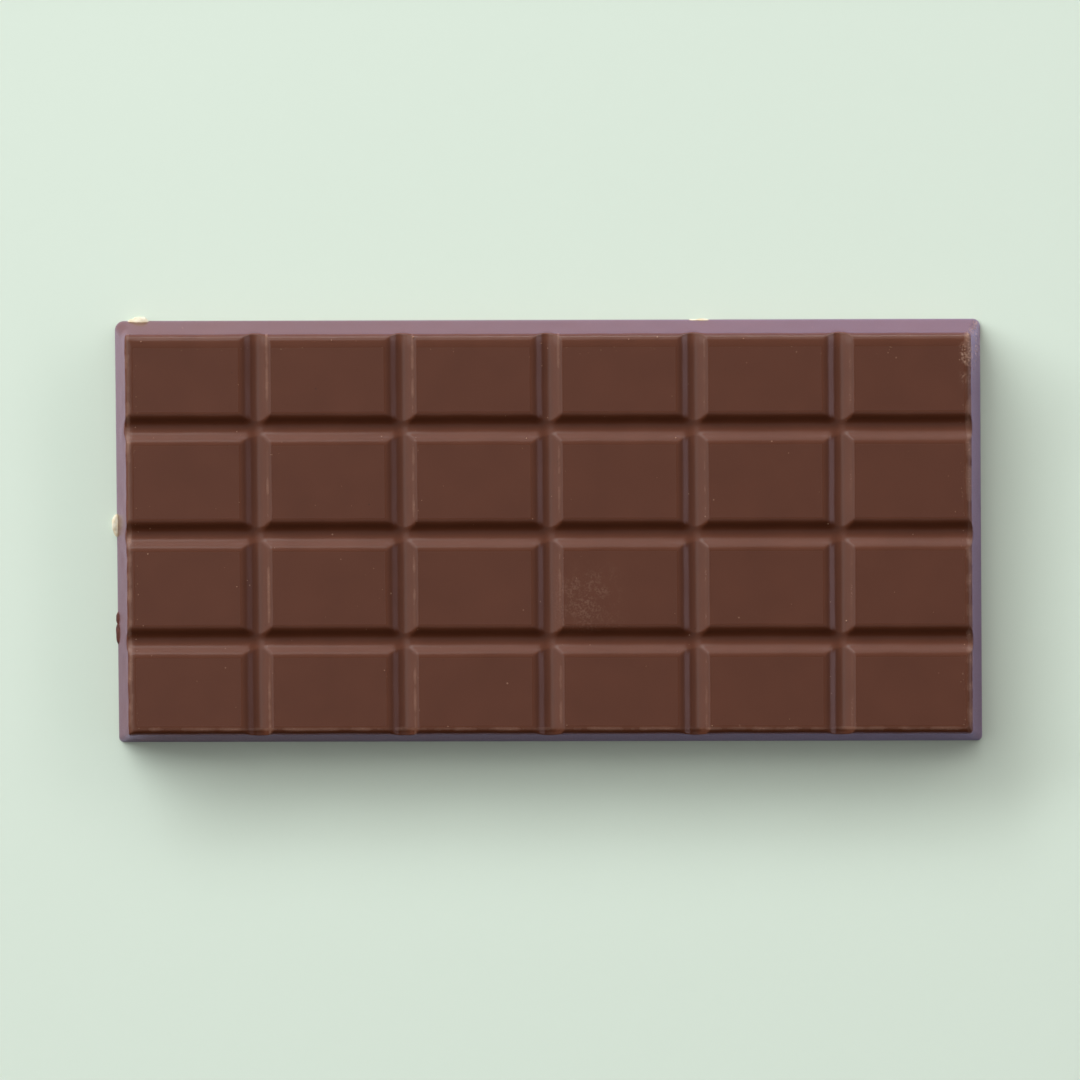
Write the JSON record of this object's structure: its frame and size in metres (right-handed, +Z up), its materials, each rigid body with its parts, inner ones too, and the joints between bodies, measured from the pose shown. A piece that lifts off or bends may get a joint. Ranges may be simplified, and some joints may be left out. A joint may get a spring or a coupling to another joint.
{
  "type": "chocolate bar",
  "caption": "Moulded milk chocolate tablet with leaning walls, coved break grooves, and bits of nut and dried fruit in its back rim.",
  "frame": {"origin": "centre of the tablet's flat back, on the surface that it lies on", "axes": "+Z up from the back to the moulded face, +X along the tablet's length, +Y across its width"},
  "size_m": [0.1582, 0.078, 0.008],
  "materials": {
    "milk_chocolate": "satin moulded milk chocolate",
    "pale_nut": "matt chopped nut, cream to pale yellow",
    "dried_fruit": "matt dried fruit, reddish brown"
  },
  "bodies": {
    "root": {"chocolate_tablet": "milk_chocolate", "nut_flake_far_corner": "pale_nut", "nut_chip_far_side": "pale_nut", "nut_chip_left_side": "pale_nut", "fruit_piece_left_side": "dried_fruit"}
  },
  "joints": []
}
